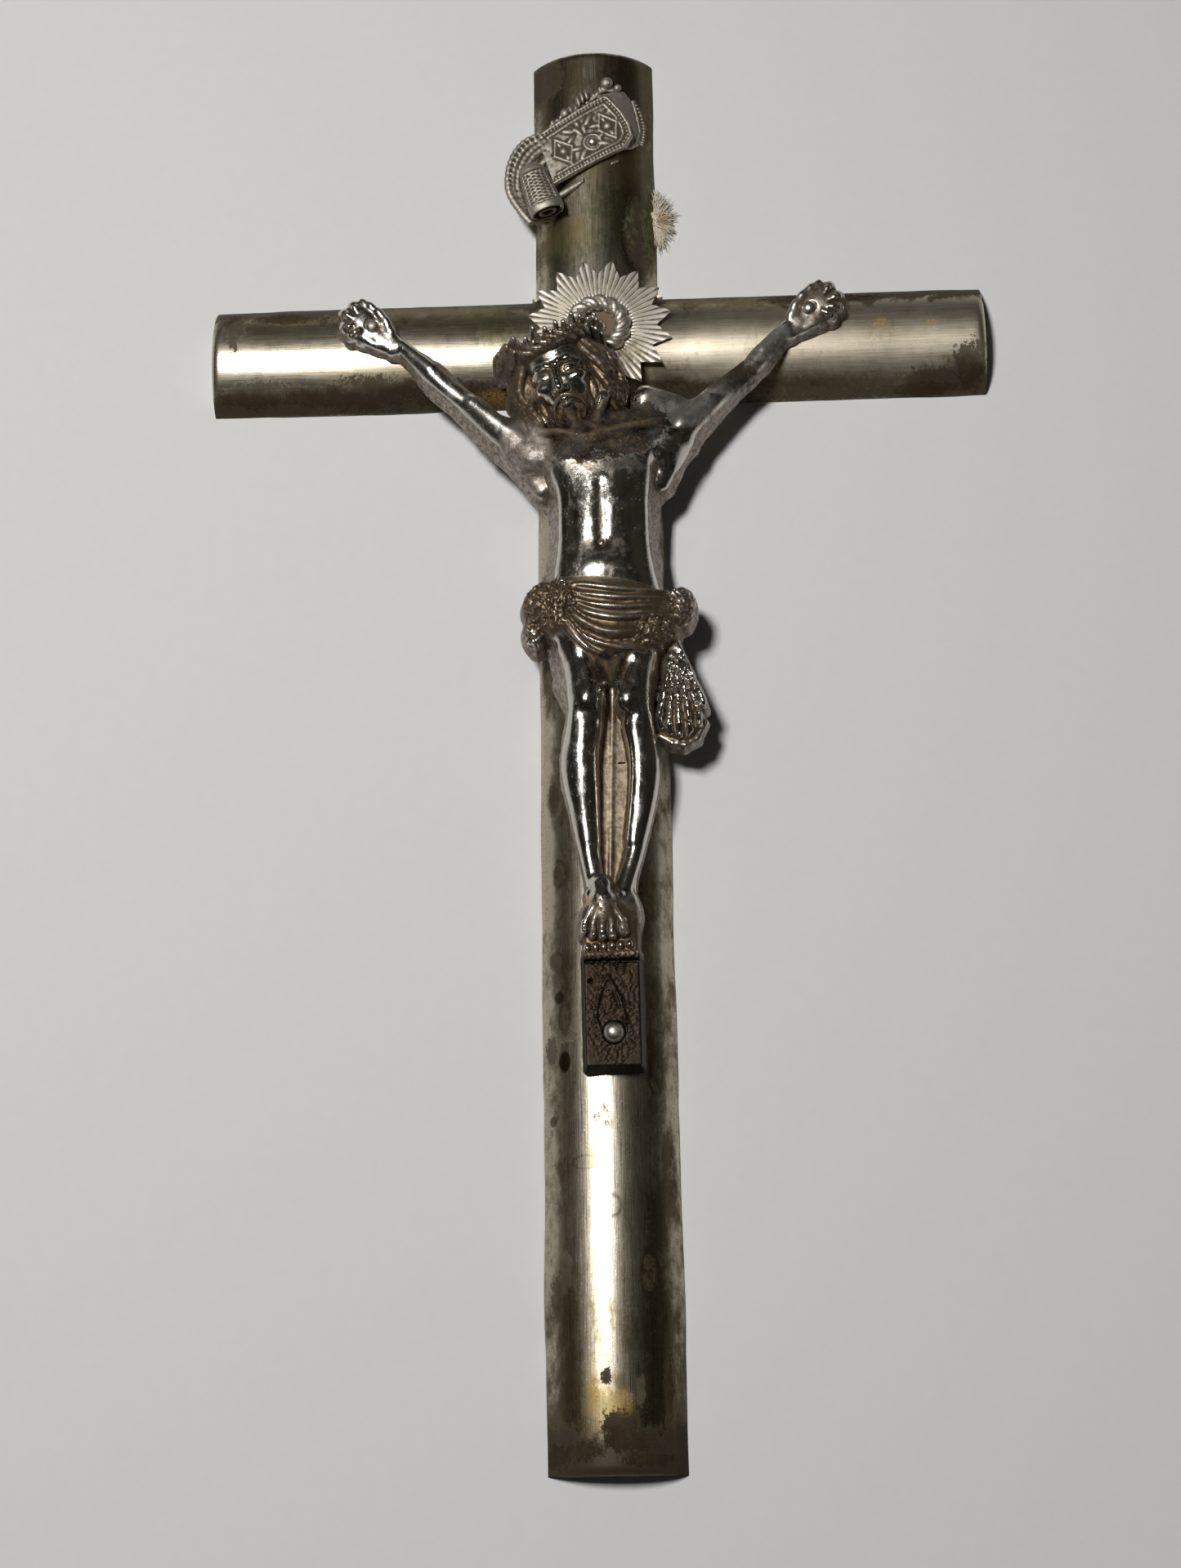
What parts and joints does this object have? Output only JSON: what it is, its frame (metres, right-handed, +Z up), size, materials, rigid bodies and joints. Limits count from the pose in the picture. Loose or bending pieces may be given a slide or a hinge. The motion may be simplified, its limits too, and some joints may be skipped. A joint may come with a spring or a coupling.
{
  "type": "wall crucifix",
  "caption": "Half-round pressed-metal wall crucifix with cast figure, rayed halo and curled scroll riveted on, and a swinging hanger ring inside the open back.",
  "frame": {"origin": "where the centre lines of upright and crossbar meet, on the plane of the open back", "axes": "+Z up the upright, +X to the viewer's right along the crossbar, -Y towards the viewer; the back plane is Y = 0"},
  "size_m": [0.157, 0.0226, 0.288],
  "materials": {
    "shell_nickel": "aged satin nickel plate with brown and green tarnish",
    "corpus_nickel": "polished nickel plate, brown patina in the hollows",
    "halo_pewter": "dull, worn bright on the ribs",
    "scroll_pewter": "dull, worn bright on the edges",
    "rivet_nickel": "satin to polished",
    "washer_steel": "dull with light rust",
    "hanger_steel": "dull with light rust",
    "ring_wire": "aged brass wire",
    "cord_fibre": "frayed natural fibre"
  },
  "bodies": {
    "cross": {"cross_shell": "shell_nickel", "corpus": "corpus_nickel", "halo": "halo_pewter", "scroll": "scroll_pewter", "rivet_left_hand": "rivet_nickel", "rivet_right_hand": "rivet_nickel", "rivet_foot": "rivet_nickel", "rivet_scroll": "rivet_nickel", "rivet_halo": "rivet_nickel", "washer_left_hand": "washer_steel", "washer_right_hand": "washer_steel", "washer_foot": "washer_steel", "washer_halo": "washer_steel", "hanger_strap": "hanger_steel", "cord_end": "cord_fibre"},
    "ring": {"hanger_ring": "ring_wire"}
  },
  "joints": [
    {"name": "ring_swing", "type": "hinge", "parent": "cross", "child": "ring", "pos_m": [0, -0.0033, 0.0525], "axis": [-1, 0, 0], "range_deg": [0, 165]}
  ]
}
